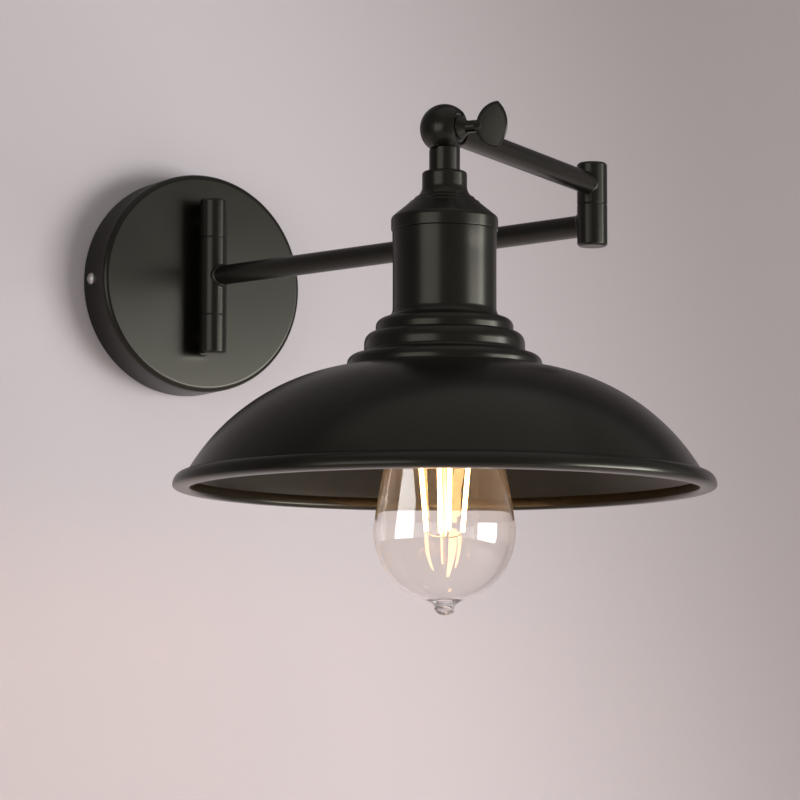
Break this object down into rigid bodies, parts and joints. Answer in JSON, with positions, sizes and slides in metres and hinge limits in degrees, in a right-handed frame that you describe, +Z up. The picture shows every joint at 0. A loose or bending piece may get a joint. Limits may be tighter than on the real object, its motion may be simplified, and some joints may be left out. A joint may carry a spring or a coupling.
{
  "type": "swing arm wall lamp",
  "caption": "Wall lamp with a round canopy, a jointed two-part swing arm, a tilting ball joint with a thumb screw, and a domed shade round a filament bulb.",
  "frame": {"origin": "centre of the canopy on the wall plane, midway between the two wall screw slots", "axes": "+X right along the wall, +Y into the wall, +Z up"},
  "size_m": [0.2704, 0.5127, 0.2585],
  "materials": {
    "black_paint": "satin black powder coat",
    "zinc_plate": "zinc plated steel",
    "dark_steel": "plain steel",
    "brass": "plain brass",
    "phenolic": "moulded black phenolic",
    "lead_insulation": "black lead insulation",
    "white_plastic": "white nylon",
    "black_nylon": "black nylon",
    "nickel_plate": "nickel plated",
    "black_glass": "glossy black insulator",
    "clear_glass": "clear",
    "support_wire": "drawn wire",
    "filament": "lit filament sticks"
  },
  "bodies": {
    "wall_side": {"canopy_cover": "black_paint", "wall_bracket": "zinc_plate", "canopy_side_screws": "zinc_plate", "earth_screw": "brass", "terminal_block": "white_plastic", "terminal_sleeves": "brass", "terminal_screws": "zinc_plate", "upper_post": "black_paint", "lower_post": "black_paint", "post_nipples": "dark_steel", "post_washers": "zinc_plate", "post_nuts": "zinc_plate", "upper_knuckle": "black_paint", "lower_knuckle": "black_paint", "wall_pivot_pin": "dark_steel", "pivot_washers": "black_nylon", "canopy_leads": "lead_insulation"},
    "lower_arm": {"arm_1_sleeve": "black_paint", "arm_1_tube": "black_paint", "elbow_lower_knuckle": "black_paint", "elbow_pin": "dark_steel", "elbow_clip": "zinc_plate", "elbow_washer": "black_nylon", "arm_1_leads": "lead_insulation"},
    "upper_arm": {"elbow_upper_knuckle": "black_paint", "elbow_top_plug": "black_paint", "arm_2_tube": "black_paint", "ball_arm_half": "black_paint", "arm_2_leads": "lead_insulation"},
    "head": {"ball_head_half": "black_paint", "clamp_washer": "dark_steel", "head_stem": "black_paint", "stem_nipple": "dark_steel", "stem_nut": "zinc_plate", "holder_cap": "black_paint", "holder_cup": "black_paint", "lampholder_body": "phenolic", "lampholder_shell": "brass", "lampholder_contact": "brass", "lampholder_terminals": "brass", "lampholder_screws": "zinc_plate", "head_leads": "lead_insulation", "shade": "black_paint", "shade_ring": "phenolic", "bulb_cap": "nickel_plate", "bulb_insulator": "black_glass", "bulb_contact": "nickel_plate", "bulb_glass": "clear_glass", "bulb_mount": "clear_glass", "bulb_wires": "support_wire", "bulb_filaments": "filament"},
    "clamp_screw": {"thumb_screw": "black_paint"}
  },
  "joints": [
    {"name": "wall_swing", "type": "hinge", "parent": "wall_side", "child": "lower_arm", "pos_m": [0, -0.0375, 0.002], "axis": [0, 0, 1], "range_deg": [-102, 68]},
    {"name": "elbow_swing", "type": "hinge", "parent": "lower_arm", "child": "upper_arm", "pos_m": [0.07894, -0.2957, 0.012], "axis": [0, 0, 1], "range_deg": [-77, 223]},
    {"name": "head_tilt", "type": "hinge", "parent": "upper_arm", "child": "head", "pos_m": [-0.062, -0.39077, 0.022], "axis": [0.5592, -0.829, 0], "range_deg": [-90, 20]},
    {"name": "thumbscrew_turn", "type": "hinge", "parent": "upper_arm", "child": "clamp_screw", "pos_m": [-0.062, -0.39077, 0.022], "axis": [0.5592, -0.829, 0], "range_deg": [0, 270]}
  ]
}
